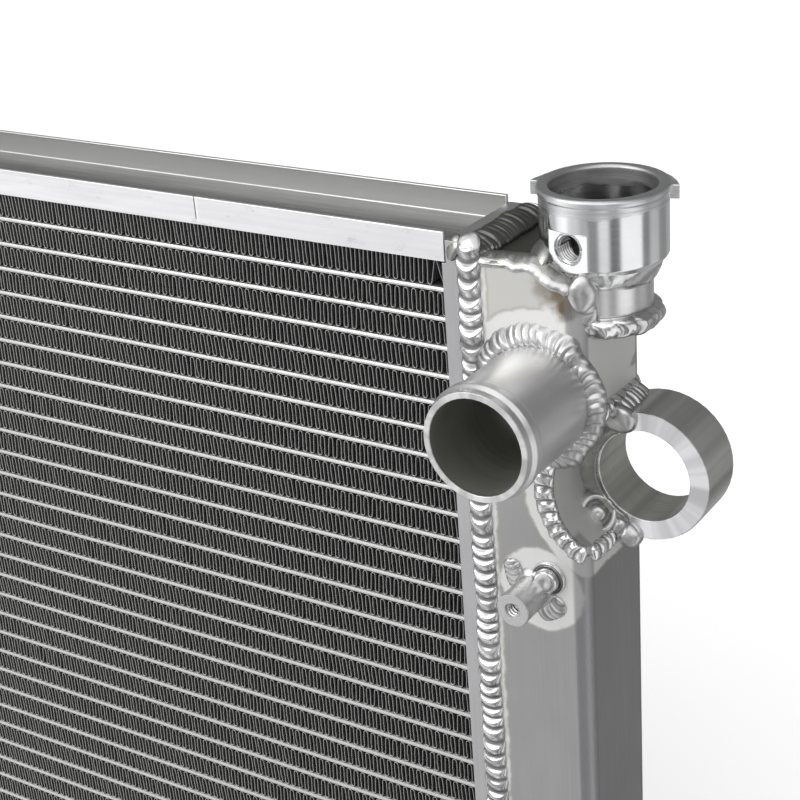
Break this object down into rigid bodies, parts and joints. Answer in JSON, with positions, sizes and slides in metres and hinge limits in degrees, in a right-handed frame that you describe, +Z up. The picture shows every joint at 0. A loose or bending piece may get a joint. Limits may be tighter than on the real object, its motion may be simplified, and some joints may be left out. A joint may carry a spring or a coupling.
{
  "type": "car radiator",
  "caption": "Aluminium cross-flow car radiator: finned flat-tube core between two welded side tanks, with open filler neck, hose outlets, cross-tube mounts, threaded bosses and drain plug.",
  "frame": {"origin": "centre of the bounding box's footprint, at the lower edge of the bottom rail", "axes": "+X towards the filler-neck tank, -Y towards the hose side (front), +Z up"},
  "size_m": [0.7422, 0.1, 0.4049],
  "materials": {
    "fin_foil": "dull folded foil, dark between the bright front edges",
    "tube_sheet": "bright brazed sheet",
    "rail_sheet": "pale mill finish with fine scratches",
    "header_sheet": "pale mill finish",
    "tank_sheet": "brushed vertically, whitish beside the welds",
    "polished_neck": "machined and polished",
    "spun_outlet": "satin turned",
    "satin_ring": "satin turned",
    "turned_fitting": "turned, with cut threads",
    "seal_rubber": "matt black"
  },
  "bodies": {
    "radiator": {"fin_pack": "fin_foil", "top_rail": "rail_sheet", "bottom_rail": "rail_sheet", "header_plate_right": "header_sheet", "header_plate_left": "header_sheet", "tank_right": "tank_sheet", "tank_left": "tank_sheet", "tank_top_cap_right": "tank_sheet", "tank_top_cap_left": "tank_sheet", "tank_bottom_cap_right": "tank_sheet", "tank_bottom_cap_left": "tank_sheet", "mount_saddle_right": "tank_sheet", "mount_saddle_left": "tank_sheet", "filler_neck": "polished_neck", "filler_neck_cup": "polished_neck", "upper_hose_outlet": "spun_outlet", "lower_hose_outlet": "spun_outlet", "mount_ring_right": "satin_ring", "mount_ring_left": "satin_ring", "threaded_boss_right": "turned_fitting", "threaded_boss_left": "turned_fitting", "drain_bung": "turned_fitting", "core_tube_01": "tube_sheet", "core_tube_02": "tube_sheet", "core_tube_03": "tube_sheet", "core_tube_04": "tube_sheet", "core_tube_05": "tube_sheet", "core_tube_06": "tube_sheet", "core_tube_07": "tube_sheet", "core_tube_08": "tube_sheet", "core_tube_09": "tube_sheet", "core_tube_10": "tube_sheet", "core_tube_11": "tube_sheet", "core_tube_12": "tube_sheet", "core_tube_13": "tube_sheet", "core_tube_14": "tube_sheet", "core_tube_15": "tube_sheet", "core_tube_16": "tube_sheet", "core_tube_17": "tube_sheet", "core_tube_18": "tube_sheet", "core_tube_19": "tube_sheet", "core_tube_20": "tube_sheet", "core_tube_21": "tube_sheet", "core_tube_22": "tube_sheet", "core_tube_23": "tube_sheet", "core_tube_24": "tube_sheet", "core_tube_25": "tube_sheet", "core_tube_26": "tube_sheet", "core_tube_27": "tube_sheet", "core_tube_28": "tube_sheet", "core_tube_29": "tube_sheet", "core_tube_30": "tube_sheet", "core_tube_31": "tube_sheet", "core_tube_32": "tube_sheet", "core_tube_33": "tube_sheet", "core_tube_34": "tube_sheet", "core_tube_35": "tube_sheet", "core_tube_36": "tube_sheet"},
    "drain_seal_travel": {"drain_seal": "seal_rubber"},
    "drain_plug_turn": {"drain_plug": "turned_fitting"}
  },
  "joints": [
    {"name": "drain_travel", "type": "slide", "parent": "radiator", "child": "drain_seal_travel", "axis": [0, 1, 0], "range_m": [0, 0.015]},
    {"name": "drain_screw", "type": "hinge", "parent": "drain_seal_travel", "child": "drain_plug_turn", "pos_m": [0.31835, 0.043, 0.032], "axis": [0, 1, 0], "range_deg": [0, 3600]}
  ],
  "couplings": [
    {"joint": "drain_travel", "follows": "drain_screw", "m_per_rad": 0.00023873}
  ]
}
